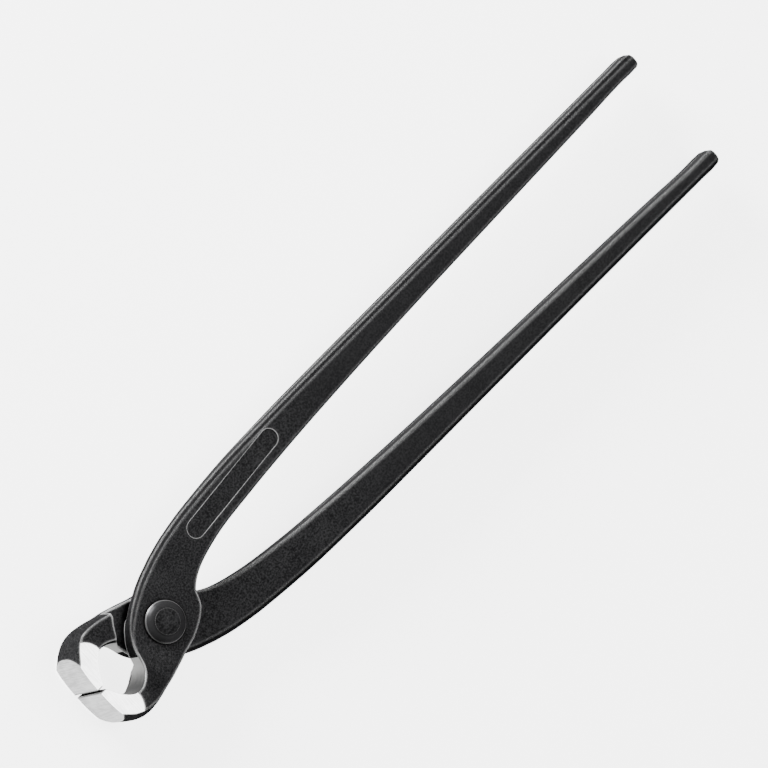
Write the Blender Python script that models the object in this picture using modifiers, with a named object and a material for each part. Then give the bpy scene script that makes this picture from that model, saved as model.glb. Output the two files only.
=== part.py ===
# Rebar tying pliers, also called concreter's nippers: two equal forged levers, crossed at a lap
# joint and held by one rivet. Metres, +Z up along the rivet, +X towards the handle ends.
# The tool lies on its back, with its jaws almost closed.

import bmesh
import bpy
import numpy as np
from math import asin, atan2, cos, degrees, hypot, pi, radians, sin
from mathutils import Matrix

MM = 0.001

# Main sizes
PIVOT_TO_EDGE = 33.3 * MM
PIVOT_TO_END = 247.0 * MM
ROOT_LENGTH = 40.0 * MM
HALF_SPREAD = 22.8 * MM
JOINT_RADIUS = 15.1 * MM
JAW_START = 15.7 * MM
JAW_WIDTH = 21.0 * MM
JOINT_THICKNESS = 12.0 * MM
GRIP_THICKNESS = 10.0 * MM
GRIP_DEPTH = 13.2 * MM

# From the tool's middle line to the bottom of the jaws' hollow and to their backs, and the
# dressed edge of the hollow on the lap's side of each jaw
HOLLOW_DEPTH = 8.8 * MM
BACK_DEPTH = 17.5 * MM
FRONT_HOLLOW_CHAMFER = 1.9 * MM
REAR_HOLLOW_CHAMFER = 1.0 * MM

# Fits
CLEARANCE = 0.3 * MM
LAP_RELIEF = 0.02 * MM
EDGE_SLOT = 1.1 * MM
OPEN_ANGLE = radians(25.0)

# Ground faces of the jaws
FLANK_STEP = 0.2 * MM
FLANK_ARC_RADIUS = 7.0 * MM
BEVEL_RADIUS = 45.0 * MM
LAND_DEPTH = 3.0 * MM

# Forged edges and crowned walls
WIDE_CHAMFER = 1.6 * MM
THIN_CHAMFER = 0.35 * MM
GRIP_CHAMFER = 0.7 * MM
JAW_CROWN = 2.0 * MM
GRIP_CROWN = 0.15 * MM
CHAMFER_DROP_SHARE = 0.85
HOLLOW_DROP_SHARE = 3.0
CROWN_POWER = 2.6

# Rivet
RIVET_RADIUS = 5.0 * MM
HEAD_RADIUS = 7.0 * MM
HEAD_FLAT_RADIUS = 4.35 * MM
HEAD_HEIGHT = 2.4 * MM
HEAD_RIM = 0.5 * MM
HEAD_BULGE = 0.3 * MM

# Bare obround panel sunk in the front of the handle
PANEL_START = 28.7 * MM
PANEL_LENGTH = 39.8 * MM
PANEL_RADIUS = 3.5 * MM
PANEL_DEPTH = 0.3 * MM
PANEL_OFFSET_SHARE = 0.62
PANEL_RISE_SHARE = 0.093

# One overrun serves every cut
OVERRUN = 8.0 * MM

STATION_STEPS = 2
WALL_STEPS = 6
ROUND_STEPS = 48
ARC_STEPS = 12

# How far along the grip, outer wall over half the spread, depth over the root's depth,
# and thickness over the grip's thickness
GRIP_SHARES = (
    (1.0000, 0.932, 0.125, 0.72),
    (0.9984, 0.962, 0.230, 0.86),
    (0.9945, 0.986, 0.310, 0.95),
    (0.9860, 0.999, 0.357, 1.00),
    (0.9565, 1.000, 0.364, 1.00),
    (0.880, 1.000, 0.410, 1.00),
    (0.680, 1.000, 0.513, 1.00),
    (0.480, 1.000, 0.614, 1.00),
    (0.290, 1.000, 0.742, 1.00),
    (0.145, 0.995, 0.870, 1.00),
    (0.050, 0.982, 0.970, 1.00),
)

# Both walls of a lever round the joint, over the joint's radius: the outer wall's x and y,
# the inner wall's x and y, and how much of the wide chamfer the outer wall has
JOINT_SHARES = (
    (2.250, 1.414, 2.250, 0.497, 1.00),
    (1.855, 1.377, 1.888, 0.417, 1.00),
    (1.523, 1.328, 1.623, 0.344, 1.00),
    (1.192, 1.268, 1.391, 0.258, 1.00),
    (0.927, 1.202, 1.205, 0.159, 1.00),
    (0.728, 1.146, 1.086, 0.070, 1.00),
    (0.563, 1.089, 1.003, -0.004, 1.00),
    (0.397, 1.033, 0.944, -0.113, 1.00),
    (0.232, 0.970, 0.854, -0.232, 0.95),
    (0.066, 0.901, 0.728, -0.351, 0.90),
    (-0.106, 0.815, 0.570, -0.460, 0.85),
    (-0.291, 0.710, 0.397, -0.556, 0.80),
    (-0.464, 0.590, 0.212, -0.636, 0.75),
    (-0.623, 0.460, 0.033, -0.685, 0.65),
    (-0.768, 0.301, -0.132, -0.728, 0.55),
    (-0.887, 0.136, -0.331, -0.795, 0.45),
    (-0.960, -0.017, -0.530, -0.854, 0.40),
    (-0.997, -0.166, -0.728, -0.917, 0.35),
)

# Both walls of a jaw: x over the jaw's length past its start and y over the hollow's depth, then
# x and y over the back's, the back wall's crown towards its front and its back, over the jaw's
# crown, and how much of the hollow's dressed edge there is. The last rows lie past the ground
# faces, which cut them off.
JAW_SHARES = (
    (0.000, 0.516, -0.097, 0.870, 0.30, 0.20, 0.60),
    (0.057, 0.692, 0.085, 0.935, 0.60, 0.25, 1.00),
    (0.148, 0.835, 0.256, 0.980, 0.85, 0.25, 1.00),
    (0.261, 0.945, 0.415, 0.997, 1.05, 0.25, 1.00),
    (0.386, 1.000, 0.557, 0.985, 1.10, 0.25, 1.00),
    (0.500, 0.978, 0.670, 0.943, 1.05, 0.40, 0.80),
    (0.602, 0.846, 0.767, 0.880, 0.90, 0.55, 0.50),
    (0.693, 0.659, 0.850, 0.812, 0.85, 0.75, 0.30),
    (0.761, 0.462, 0.955, 0.735, 0.95, 1.05, 0.20),
    (0.824, 0.264, 1.085, 0.640, 1.15, 1.25, 0.20),
    (0.892, 0.110, 1.200, 0.487, 1.40, 1.40, 0.20),
    (0.983, -0.022, 1.267, 0.270, 1.50, 1.50, 0.20),
    (1.125, -0.110, 1.295, -0.029, 0.80, 0.80, 0.20),
)

# Where the front face swells from the joint's thickness to the jaw's width, where the back steps
# down from the lap to the jaw's shoulder, and where it reaches full width, over the jaw's start
FRONT_FLARE_SHARES = (0.60, 1.50)
BACK_STEP_SHARES = (0.45, 0.70)
BACK_FLARE_SHARES = (0.97, 1.55)
SHOULDER_HEIGHT_SHARE = 0.87

# Where the back of the handle leaves the lap's level and reaches the grip's, over the root's length
LAP_FLARE_SHARES = (0.33, 2.20)

# The jaw's shoulder beside the lap, over the joint's radius: the x and y of its brim, then of
# its foot, which spreads towards the lap
SHOULDER_SHARES = (
    (-1.390, -0.300, -1.150, -0.020),
    (-1.210, -0.450, -1.030, -0.220),
    (-1.115, -0.535, -0.960, -0.360),
    (-1.025, -0.680, -0.920, -0.560),
    (-0.930, -0.825, -0.870, -0.760),
    (-0.860, -0.920, -0.820, -0.880),
    (-0.860, -1.100, -0.820, -1.100),
    (-0.820, -1.500, -0.780, -1.500),
)

# Centres of the ground faces' arcs, over the jaw's reach and depth
FLANK_CENTRE_SHARES = (-0.93, -0.54)
FLANK_ARC = radians(60.0)
BEVEL_CENTRE_SHARE = -0.06
CLOSE_SHARE = 0.95

JOINT_HALF = JOINT_THICKNESS / 2
GRIP_HALF = GRIP_THICKNESS / 2
JAW_HALF = JAW_WIDTH / 2
FORGED_HALF = JAW_HALF + FLANK_STEP
JAW_LENGTH = PIVOT_TO_EDGE - JAW_START
LAP_HALF = CLEARANCE / 2
CLOSE_ANGLE = CLOSE_SHARE * asin(EDGE_SLOT / PIVOT_TO_EDGE)
HEAD_SEAT = JOINT_HALF + CLEARANCE
RIVET_HALF = HEAD_SEAT + HEAD_HEIGHT

BLACK_STEEL = (0.028, 0.028, 0.030)


def blend(low, high, share):
    return low + (high - low) * share


def ease(value, start, end):
    """Rises smoothly from 0 at start to 1 at end."""
    share = min(max((value - start) / (end - start), 0.0), 1.0)
    return share * share * (3 - 2 * share)


def smooth_rows(rows, steps):
    """More rows on a smooth curve through the given ones, spaced by their first two columns."""
    rows = np.array(rows, dtype=float)
    gaps = np.linalg.norm(np.diff(rows[:, :2], axis=0), axis=1)
    slopes = np.diff(rows, axis=0) / gaps[:, None]
    tangents = [slopes[0]]
    for i in range(1, len(rows) - 1):
        share = gaps[i - 1] / (gaps[i - 1] + gaps[i])
        tangents.append(blend(slopes[i - 1], slopes[i], share))
    tangents.append(slopes[-1])
    made = []
    for i in range(len(rows) - 1):
        for step in range(steps):
            t = step / steps
            made.append(
                (1 + 2 * t) * (1 - t) ** 2 * rows[i]
                + t * (1 - t) ** 2 * gaps[i] * tangents[i]
                + t * t * (3 - 2 * t) * rows[i + 1]
                + t * t * (t - 1) * gaps[i] * tangents[i + 1]
            )
    made.append(rows[-1])
    return made


def front_height(x, grip_half=GRIP_HALF):
    """Height of the front face: grip, joint, then the swell to the jaw's full width."""
    start, end = FRONT_FLARE_SHARES
    root = ease(x, JOINT_RADIUS, 2 * ROOT_LENGTH)
    swell = ease(-x, start * JAW_START, end * JAW_START)
    return blend(blend(JOINT_HALF, grip_half, root), FORGED_HALF, swell)


def back_height(x, grip_half=GRIP_HALF):
    """Height of the back face: grip, the lap's level, the jaw's shoulder, then its full width."""
    root = ease(x, LAP_FLARE_SHARES[0] * ROOT_LENGTH, LAP_FLARE_SHARES[1] * ROOT_LENGTH)
    step = ease(-x, BACK_STEP_SHARES[0] * JAW_START, BACK_STEP_SHARES[1] * JAW_START)
    swell = ease(-x, BACK_FLARE_SHARES[0] * JAW_START, BACK_FLARE_SHARES[1] * JAW_START)
    shoulder = blend(LAP_HALF, -SHOULDER_HEIGHT_SHARE * FORGED_HALF, step)
    return blend(blend(shoulder, -grip_half, root), -FORGED_HALF, swell)


def lever_stations(hollow_chamfer):
    """Sections of a lever from the handle's end to past the cutting edge: outer x and y, inner
    x and y, the outer wall's front and back chamfers with the back one's drop, the inner wall's
    chamfer and its crown to the front and the back, and the grip's half thickness."""
    rows = []
    for along, outer, depth, thickness in GRIP_SHARES:
        x = blend(ROOT_LENGTH, PIVOT_TO_END, along)
        top = outer * HALF_SPREAD
        deep = depth * GRIP_DEPTH
        wide = min(WIDE_CHAMFER, deep / 3)
        drop = wide * CHAMFER_DROP_SHARE
        thin = min(GRIP_CHAMFER, deep / 4)
        half = thickness * GRIP_HALF
        edges = (wide, wide, drop, thin, GRIP_CROWN, GRIP_CROWN)
        rows.append((x, top, x, top - deep, *edges, half))
    for outer_x, outer_y, inner_x, inner_y, chamfer in JOINT_SHARES:
        outer = (outer_x * JOINT_RADIUS, outer_y * JOINT_RADIUS)
        inner = (inner_x * JOINT_RADIUS, inner_y * JOINT_RADIUS)
        wide = chamfer * WIDE_CHAMFER
        drop = wide * CHAMFER_DROP_SHARE
        thin = blend(THIN_CHAMFER, GRIP_CHAMFER, ease(inner_x, 1, 2))
        edges = (wide, wide, drop, thin, GRIP_CROWN, GRIP_CROWN)
        rows.append((*outer, *inner, *edges, GRIP_HALF))
    for hollow_x, hollow_y, back_x, back_y, front_crown, back_crown, dressed in JAW_SHARES:
        hollow = (-JAW_START - hollow_x * JAW_LENGTH, -hollow_y * HOLLOW_DEPTH)
        back = (-JAW_START - back_x * JAW_LENGTH, -back_y * BACK_DEPTH)
        wide = dressed * hollow_chamfer
        drop = wide * HOLLOW_DROP_SHARE
        crowns = (front_crown * JAW_CROWN, back_crown * JAW_CROWN)
        rows.append((*hollow, *back, THIN_CHAMFER, wide, drop, THIN_CHAMFER, *crowns, GRIP_HALF))
    return smooth_rows(rows, STATION_STEPS)


def wall_points(foot, inward, top, bottom, front_crown, back_crown):
    """One upright wall of a section, from front to back, bowed out in the middle."""
    points = []
    for i in range(WALL_STEPS + 1):
        place = 2 * i / WALL_STEPS - 1
        crown = front_crown if place < 0 else back_crown
        spot = foot + inward * crown * abs(place) ** CROWN_POWER
        points.append((*spot, blend(top, bottom, i / WALL_STEPS)))
    return points


def section_ring(row):
    """One closed section of a lever, in the upright plane through its outer and inner walls."""
    outer = row[0:2]
    inner = row[2:4]
    wide, back_wide, back_drop, thin, front_crown, back_crown, grip_half = row[4:11]
    across = (inner - outer) / np.linalg.norm(inner - outer)
    front_outer = outer + across * (wide + GRIP_CROWN)
    back_outer = outer + across * (back_wide + GRIP_CROWN)
    front_inner = inner - across * (thin + front_crown)
    back_inner = inner - across * (thin + back_crown)
    thin_drop = thin * CHAMFER_DROP_SHARE
    inner_top = front_height(inner[0], grip_half) - thin_drop
    inner_bottom = back_height(inner[0], grip_half) + thin_drop
    outer_top = front_height(outer[0], grip_half) - wide * CHAMFER_DROP_SHARE
    outer_bottom = back_height(outer[0], grip_half) + back_drop
    outer_wall = wall_points(outer, across, outer_top, outer_bottom, GRIP_CROWN, GRIP_CROWN)
    return [
        (*front_outer, front_height(front_outer[0], grip_half)),
        (*front_inner, front_height(front_inner[0], grip_half)),
        *wall_points(inner, -across, inner_top, inner_bottom, front_crown, back_crown),
        (*back_inner, back_height(back_inner[0], grip_half)),
        (*back_outer, back_height(back_outer[0], grip_half)),
        *reversed(outer_wall),
    ]


def loft(name, rings):
    """A closed skin through equal rings, capped at both ends."""
    count = len(rings[0])
    points = [point for ring in rings for point in ring]
    faces = [list(range(count))]
    faces.append([len(points) - 1 - i for i in range(count)])
    for i in range(len(rings) - 1):
        for j in range(count):
            k = (j + 1) % count
            faces.append([i * count + k, i * count + j, (i + 1) * count + j, (i + 1) * count + k])
    mesh = bpy.data.meshes.new(name)
    mesh.from_pydata(points, [], faces)
    mesh.shade_smooth()
    mesh.set_sharp_from_angle(angle=radians(30.0))
    return mesh


def solid_of(obj):
    """The mesh of a curve object with its loose caps welded on."""
    bpy.context.view_layer.update()
    evaluated = obj.evaluated_get(bpy.context.evaluated_depsgraph_get())
    mesh = bpy.data.meshes.new_from_object(evaluated)
    edit = bmesh.new()
    edit.from_mesh(mesh)
    bmesh.ops.remove_doubles(edit, verts=edit.verts, dist=MM / 1000)
    bmesh.ops.recalc_face_normals(edit, faces=edit.faces)
    edit.to_mesh(mesh)
    edit.free()
    return mesh


def prism(name, outline, bottom, top):
    """A flat outline with straight upright walls between two heights."""
    curve = bpy.data.curves.new(name, "CURVE")
    curve.dimensions = "2D"
    curve.fill_mode = "BOTH"
    curve.extrude = (top - bottom) / 2
    spline = curve.splines.new("POLY")
    spline.points.add(len(outline) - 1)
    for point, (x, y) in zip(spline.points, outline):
        point.co = (x, y, 0.0, 1.0)
    spline.use_cyclic_u = True
    holder = bpy.data.objects.new(name, curve)
    bpy.context.scene.collection.objects.link(holder)
    mesh = solid_of(holder)
    mesh.name = name
    mesh.transform(Matrix.Translation((0.0, 0.0, (top + bottom) / 2)))
    bpy.data.objects.remove(holder)
    return mesh


def arc(centre, radius, first, last, steps):
    """Points on a circle from one direction to another."""
    directions = [blend(first, last, i / steps) for i in range(steps + 1)]
    return [(centre[0] + radius * cos(a), centre[1] + radius * sin(a)) for a in directions]


def lap_cut():
    """Frees the lap for the other lever, and leaves the jaw's shoulder standing beside it, its
    wall sloping from the brim to the foot."""
    top = LAP_HALF - LAP_RELIEF
    brim_height = -SHOULDER_HEIGHT_SHARE * FORGED_HALF
    slant = OVERRUN / (top - brim_height)
    shoulder = np.array(smooth_rows(SHOULDER_SHARES, STATION_STEPS)) * JOINT_RADIUS
    foot = shoulder[:, 2:]
    low = shoulder[:, :2] + (shoulder[:, :2] - foot) * slant
    rest = [(JOINT_RADIUS, low[-1][1]), (JOINT_RADIUS, HALF_SPREAD), (low[0][0], HALF_SPREAD)]
    upper_ring = [(x, y, top) for x, y in [*foot, *rest]]
    lower_ring = [(x, y, brim_height - OVERRUN) for x, y in [*low, *rest]]
    return loft("lap_relief", [upper_ring, lower_ring])


def rivet_bore_cut():
    """The rivet's hole through the lap."""
    radius = RIVET_RADIUS + CLEARANCE
    outline = arc((0.0, 0.0), radius, 0.0, 2 * pi, ROUND_STEPS)[:-1]
    return prism("rivet_bore", outline, -FORGED_HALF, FORGED_HALF)


def land_cut():
    """The flat faces of the cutting edges, half the slot away from each other."""
    left = -PIVOT_TO_EDGE - OVERRUN
    right = -PIVOT_TO_EDGE + LAND_DEPTH
    outline = [
        (left, -EDGE_SLOT / 2),
        (right, -EDGE_SLOT / 2),
        (right, OVERRUN),
        (left, OVERRUN),
    ]
    return prism("edge_land", outline, -FORGED_HALF - OVERRUN, FORGED_HALF + OVERRUN)


def bevel_cut():
    """The ground end of the jaw, on a large arc from the cutting edge to the back."""
    centre = (BEVEL_RADIUS - PIVOT_TO_EDGE, BEVEL_CENTRE_SHARE * PIVOT_TO_EDGE)
    above = asin(OVERRUN / BEVEL_RADIUS)
    below = asin((HALF_SPREAD + OVERRUN / 2) / BEVEL_RADIUS)
    outline = arc(centre, BEVEL_RADIUS, pi - above, pi + below, ARC_STEPS)
    outside = -PIVOT_TO_EDGE - 2 * OVERRUN
    outline.append((outside, outline[-1][1]))
    outline.append((outside, outline[0][1]))
    return prism("end_bevel", outline, -FORGED_HALF - OVERRUN, FORGED_HALF + OVERRUN)


def flank_cuts():
    """The ground flats on both sides of the jaw, each ending in an arc."""
    centre = (FLANK_CENTRE_SHARES[0] * PIVOT_TO_EDGE, FLANK_CENTRE_SHARES[1] * BACK_DEPTH)
    outline = arc(centre, FLANK_ARC_RADIUS, -FLANK_ARC, FLANK_ARC, ARC_STEPS)
    outside = -PIVOT_TO_EDGE - OVERRUN
    outline.append((outline[-1][0], OVERRUN))
    outline.append((outside, OVERRUN))
    outline.append((outside, -HALF_SPREAD))
    outline.append((outline[0][0], -HALF_SPREAD))
    front = prism("front_flank", outline, JAW_HALF, JAW_HALF + OVERRUN)
    back = prism("back_flank", outline, -JAW_HALF - OVERRUN, -JAW_HALF)
    return [front, back]


def panel_cut():
    """The bare obround panel, parallel to the front face of the handle."""
    turn = atan2(PANEL_RISE_SHARE, 1)
    half = PANEL_LENGTH / 2
    outline = arc((half, 0.0), PANEL_RADIUS, -pi / 2, pi / 2, ARC_STEPS)
    outline += arc((-half, 0.0), PANEL_RADIUS, pi / 2, 3 * pi / 2, ARC_STEPS)
    mesh = prism("obround_panel", outline, -PANEL_DEPTH, OVERRUN)
    start = front_height(PANEL_START)
    end = front_height(PANEL_START + PANEL_LENGTH)
    fall = atan2(start - end, PANEL_LENGTH)
    x = PANEL_START + half * cos(turn)
    y = PANEL_OFFSET_SHARE * HALF_SPREAD + half * sin(turn)
    place = Matrix.Translation((x, y, (start + end) / 2))
    mesh.transform(place @ Matrix.Rotation(fall, 4, "Y") @ Matrix.Rotation(turn, 4, "Z"))
    return mesh


def plain_material(name, colour, roughness, metallic):
    made = bpy.data.materials.new(name)
    made.use_nodes = True
    shader = made.node_tree.nodes["Principled BSDF"]
    shader.inputs["Base Color"].default_value = (*colour, 1.0)
    shader.inputs["Roughness"].default_value = roughness
    shader.inputs["Metallic"].default_value = metallic
    made.diffuse_color = (*colour, 1.0)
    return made


def new_collection(name):
    made = bpy.data.collections.new(name)
    bpy.context.scene.collection.children.link(made)
    return made


def make_lever(name, hollow_chamfer, turn, cuts, pivot, parts, cutters):
    """One lever on the pivot, turned about X, with its own set of cutters."""
    forging = loft(name, [section_ring(row) for row in lever_stations(hollow_chamfer)])
    forging.materials.append(plain_material(name + "_steel", BLACK_STEEL, 0.6, 0.5))
    lever = bpy.data.objects.new(name, forging)
    lever.parent = pivot
    lever.rotation_euler = (turn, 0.0, 0.0)
    parts.objects.link(lever)
    for mesh in cuts:
        cutter = bpy.data.objects.new(name + "_" + mesh.name, mesh)
        cutter.parent = lever
        cutter.hide_render = True
        cutter.display_type = "WIRE"
        cutters.objects.link(cutter)
        cut = lever.modifiers.new(mesh.name, "BOOLEAN")
        cut.operation = "DIFFERENCE"
        cut.solver = "EXACT"
        cut.object = cutter
    return lever


def limit_swing(lever):
    """Holds a lever's turn about the rivet between its closed and open positions."""
    limit = lever.constraints.new("LIMIT_ROTATION")
    limit.owner_space = "LOCAL"
    limit.use_limit_z = True
    limit.min_z = -CLOSE_ANGLE
    limit.max_z = OPEN_ANGLE


def head_profile():
    """The rivet's outer side from the middle of its head down to the shank, as radius, height."""
    rim = HEAD_SEAT + HEAD_RIM
    run = HEAD_RADIUS - HEAD_FLAT_RADIUS
    fall = RIVET_HALF - rim
    length = hypot(run, fall)
    points = [(0.0, RIVET_HALF)]
    for i in range(ARC_STEPS // 2 + 1):
        share = 2 * i / ARC_STEPS
        bulge = HEAD_BULGE * sin(pi * share)
        radius = HEAD_FLAT_RADIUS + run * share + bulge * fall / length
        points.append((radius, RIVET_HALF - fall * share + bulge * run / length))
    points.append((HEAD_RADIUS, HEAD_SEAT))
    points.append((RIVET_RADIUS, HEAD_SEAT))
    return points


def make_rivet(pivot, parts):
    """The rivet, turned from one profile, with an equal head formed at its back."""
    upper = head_profile()
    profile = upper + [(radius, -height) for radius, height in reversed(upper)]
    mesh = bpy.data.meshes.new("pivot_rivet")
    edges = [(i, i + 1) for i in range(len(profile) - 1)]
    mesh.from_pydata([(radius, 0.0, height) for radius, height in profile], edges, [])
    rivet = bpy.data.objects.new("pivot_rivet", mesh)
    rivet.parent = pivot
    parts.objects.link(rivet)
    screw = rivet.modifiers.new("turned", "SCREW")
    screw.steps = ROUND_STEPS
    screw.render_steps = ROUND_STEPS
    screw.use_merge_vertices = True
    screw.merge_threshold = MM / 1000
    mesh.materials.append(plain_material("pivot_rivet_steel", BLACK_STEEL, 0.55, 0.5))
    return rivet


def main():
    for obj in list(bpy.data.objects):
        bpy.data.objects.remove(obj)
    parts = new_collection("rebar_tying_pliers")
    cutters = new_collection("cutters")
    pivot = bpy.data.objects.new("pivot", None)
    pivot.location = (0.0, 0.0, RIVET_HALF)
    parts.objects.link(pivot)
    cuts = [lap_cut(), rivet_bore_cut(), land_cut(), bevel_cut(), *flank_cuts(), panel_cut()]
    front = make_lever("front_lever", FRONT_HOLLOW_CHAMFER, 0.0, cuts, pivot, parts, cutters)
    limit_swing(front)
    make_lever("rear_lever", REAR_HOLLOW_CHAMFER, pi, cuts, pivot, parts, cutters)
    make_rivet(pivot, parts)
    overall = (PIVOT_TO_EDGE + PIVOT_TO_END) / MM
    swing = degrees(CLOSE_ANGLE), degrees(OPEN_ANGLE)
    print(f"pliers {overall:.0f} mm long, closing {swing[0]:.2f}, opening {swing[1]:.0f} degrees")


main()
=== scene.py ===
import bmesh
import bpy
import numpy as np
from math import asin, atan2, cos, pi, radians, sin
from mathutils import Matrix, Vector


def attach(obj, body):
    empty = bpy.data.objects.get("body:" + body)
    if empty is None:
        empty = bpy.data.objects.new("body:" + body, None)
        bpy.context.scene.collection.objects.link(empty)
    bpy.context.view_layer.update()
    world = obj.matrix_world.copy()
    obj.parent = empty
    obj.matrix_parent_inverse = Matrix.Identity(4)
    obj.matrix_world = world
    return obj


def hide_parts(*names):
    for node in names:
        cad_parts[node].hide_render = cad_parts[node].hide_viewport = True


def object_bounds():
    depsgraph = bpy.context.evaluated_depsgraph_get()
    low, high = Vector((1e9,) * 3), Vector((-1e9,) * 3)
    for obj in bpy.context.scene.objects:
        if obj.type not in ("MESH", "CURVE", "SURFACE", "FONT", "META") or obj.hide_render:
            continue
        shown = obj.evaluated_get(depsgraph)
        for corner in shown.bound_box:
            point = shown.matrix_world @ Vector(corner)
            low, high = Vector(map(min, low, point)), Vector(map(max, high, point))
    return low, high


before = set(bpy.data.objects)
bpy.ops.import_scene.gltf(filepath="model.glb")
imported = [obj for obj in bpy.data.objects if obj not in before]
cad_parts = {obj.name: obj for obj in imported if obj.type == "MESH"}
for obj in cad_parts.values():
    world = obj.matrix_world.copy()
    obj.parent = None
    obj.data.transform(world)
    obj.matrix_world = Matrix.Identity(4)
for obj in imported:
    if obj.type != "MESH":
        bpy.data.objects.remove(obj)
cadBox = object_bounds()
mm = 0.001
pivotHeight = 8.7 * mm
sharpAngle = radians(28.0)
print("frame loaded:", ", ".join(sorted(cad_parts)))


def placeObject(name, data):
    made = bpy.data.objects.new(name, data)
    bpy.context.scene.collection.objects.link(made)
    return made


def plainMesh(shape):
    bpy.context.view_layer.update()
    shaped = shape.evaluated_get(bpy.context.evaluated_depsgraph_get())
    mesh = bpy.data.meshes.new_from_object(shaped)
    shape.modifiers.clear()
    return mesh


def smoothMesh(mesh):
    mesh.shade_smooth()
    mesh.set_sharp_from_angle(angle=sharpAngle)


# The camera, at the photograph's angle: its turns, and where the pivot stands in the picture
cameraSizes = {
    "tilt": radians(22.389),
    "bearing": radians(13.329),
    "roll": radians(29.985),
    "distance": 9.0,
    "pictureWidth": 243.82 * mm,
    "pivotAcross": 0.20568,
    "pivotDown": 0.81190,
    "sensor": 36.0,
}


def pictureAxes(sizes):
    flat = Vector((cos(sizes["bearing"]), sin(sizes["bearing"]), 0.0)) * cos(sizes["tilt"])
    along = flat - Vector((0.0, 0.0, sin(sizes["tilt"])))
    side = Vector((-sin(sizes["bearing"]), cos(sizes["bearing"]), 0.0))
    across = along * cos(sizes["roll"]) + side * sin(sizes["roll"])
    upward = side * cos(sizes["roll"]) - along * sin(sizes["roll"])
    return Matrix((across, upward, across.cross(upward)))  # world rows, picture columns


def makeCamera(sizes):
    axes = pictureAxes(sizes)
    right, top, near = axes.col[0].copy(), axes.col[1].copy(), axes.col[2].copy()
    width = sizes["pictureWidth"]
    middle = Vector((0.0, 0.0, pivotHeight))
    middle += right * width * (0.5 - sizes["pivotAcross"])
    middle += top * width * (sizes["pivotDown"] - 0.5)
    data = bpy.data.cameras.new("camera")
    data.sensor_width = sizes["sensor"]
    data.lens = sizes["sensor"] * sizes["distance"] / width
    data.clip_start = 0.1
    data.clip_end = 40.0
    camera = placeObject("camera", data)
    camera.matrix_world = Matrix.Translation(middle + near * sizes["distance"]) @ axes.to_4x4()
    bpy.context.scene.camera = camera
    return axes, middle


axes, middle = makeCamera(cameraSizes)
print("camera set")

# Lights: how far right, up and near of the picture's middle each stands, its size and its power
lightSizes = {
    "sky": 0.35,
    "overhead": {"place": (0.82, 0.19, 0.86), "size": 0.7, "power": 12.0},
    "upperLeft": {"place": (-0.6, 0.75, 0.45), "size": 0.5, "power": 45.0},
    "lowerRight": {"place": (1.1, -0.7, 0.7), "size": 0.8, "power": 3.0},
}


def makeLight(name, sizes):
    data = bpy.data.lights.new(name, "AREA")
    data.shape = "SQUARE"
    data.size = sizes["size"]
    data.energy = sizes["power"]
    light = placeObject(name, data)
    reach = axes @ Vector(sizes["place"])
    light.location = middle + reach
    light.rotation_euler = reach.to_track_quat("Z", "Y").to_euler()


for lightName in ("overhead", "upperLeft", "lowerRight"):
    makeLight(lightName, lightSizes[lightName])
world = bpy.data.worlds.new("studio")
world.use_nodes = True
world.node_tree.nodes["Background"].inputs["Strength"].default_value = lightSizes["sky"]
world.node_tree.nodes["Background"].inputs["Color"].default_value = (1.0, 1.0, 1.0, 1.0)
bpy.context.scene.world = world
print("lights set")


# Materials: a wire is one socket, and sums on wires add their Math nodes
class Wire:
    def __init__(self, paint, socket):
        self.paint = paint
        self.socket = socket

    def math(self, operation, *values):
        return self.paint.node("Math", {"operation": operation}, dict(enumerate(values)))

    def __add__(self, other):
        return self.math("ADD", self, other)

    def __sub__(self, other):
        return self.math("SUBTRACT", self, other)

    def __rsub__(self, other):
        return self.math("SUBTRACT", other, self)

    def __mul__(self, other):
        return self.math("MULTIPLY", self, other)

    __radd__ = __add__
    __rmul__ = __mul__

    def magnitude(self):
        return self.math("ABSOLUTE", self)

    def smaller(self, other):
        return self.math("MINIMUM", self, other)

    def larger(self, other):
        return self.math("MAXIMUM", self, other)

    def scaled(self, base, more):
        return base + self * more

    def above(self, low, high):
        settings = {"interpolation_type": "SMOOTHSTEP"}
        return self.paint.node("MapRange", settings, {0: self, 1: low, 2: high})


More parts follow.
